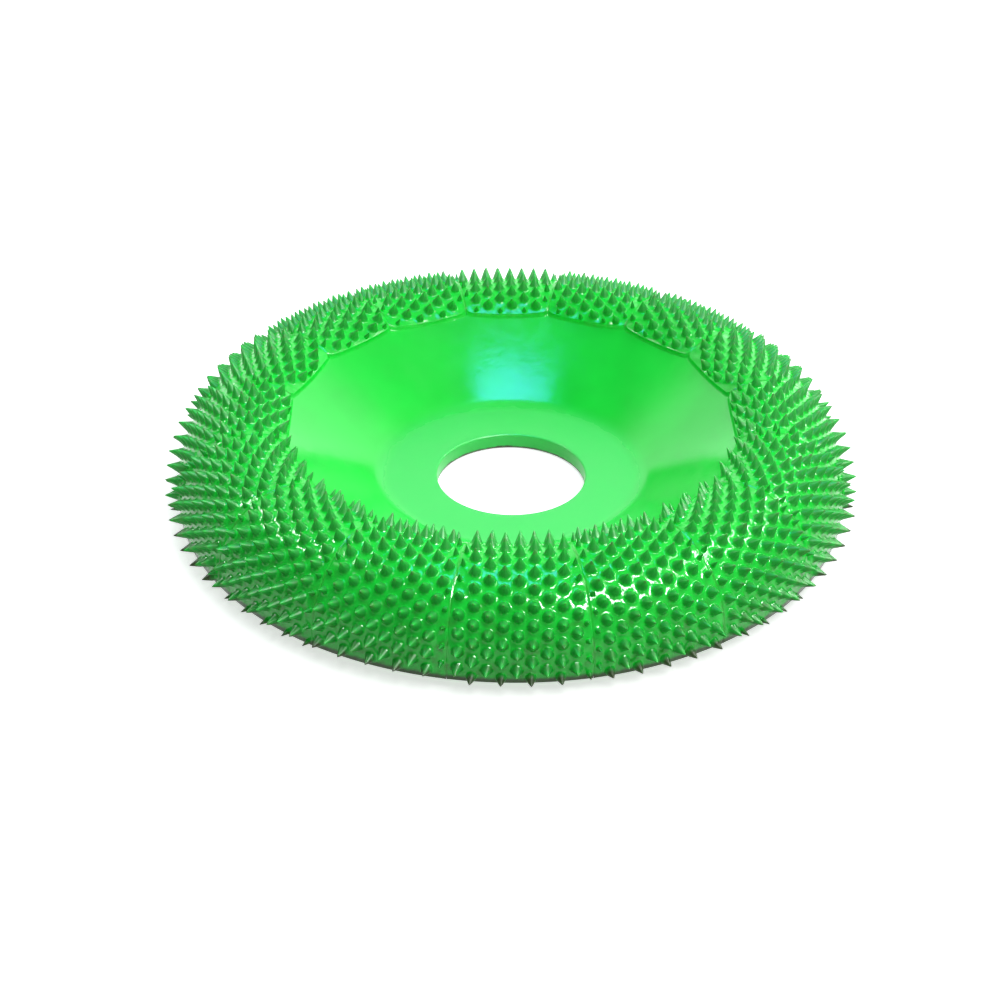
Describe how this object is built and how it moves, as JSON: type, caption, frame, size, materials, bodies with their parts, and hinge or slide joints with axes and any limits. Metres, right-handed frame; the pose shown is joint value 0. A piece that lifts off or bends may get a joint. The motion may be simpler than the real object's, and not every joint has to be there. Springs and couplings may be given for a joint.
{
  "type": "angle grinder carving disc",
  "caption": "Dished steel carving disc with a spindle bore and a round rim covered in sharp conical carbide teeth, for shaping wood with an angle grinder.",
  "frame": {"origin": "on the bore's axis, at the hub's underside, which is the lowest face", "axes": "+Z along the bore's axis towards the toothed side; a segment's middle lies on -Y"},
  "size_m": [0.1026, 0.1026, 0.016],
  "materials": {
    "body_coat": "glossy green powder coat on pressed steel",
    "tooth_coat": "green coat over carbide grit teeth, worn at the points"
  },
  "bodies": {
    "root": {"dished_body": "body_coat", "tooth_segment_01": "tooth_coat", "tooth_segment_02": "tooth_coat", "tooth_segment_03": "tooth_coat", "tooth_segment_04": "tooth_coat", "tooth_segment_05": "tooth_coat", "tooth_segment_06": "tooth_coat", "tooth_segment_07": "tooth_coat", "tooth_segment_08": "tooth_coat", "tooth_segment_09": "tooth_coat", "tooth_segment_10": "tooth_coat", "tooth_segment_11": "tooth_coat", "tooth_segment_12": "tooth_coat", "tooth_segment_13": "tooth_coat", "tooth_segment_14": "tooth_coat", "tooth_segment_15": "tooth_coat", "tooth_segment_16": "tooth_coat"}
  },
  "joints": []
}
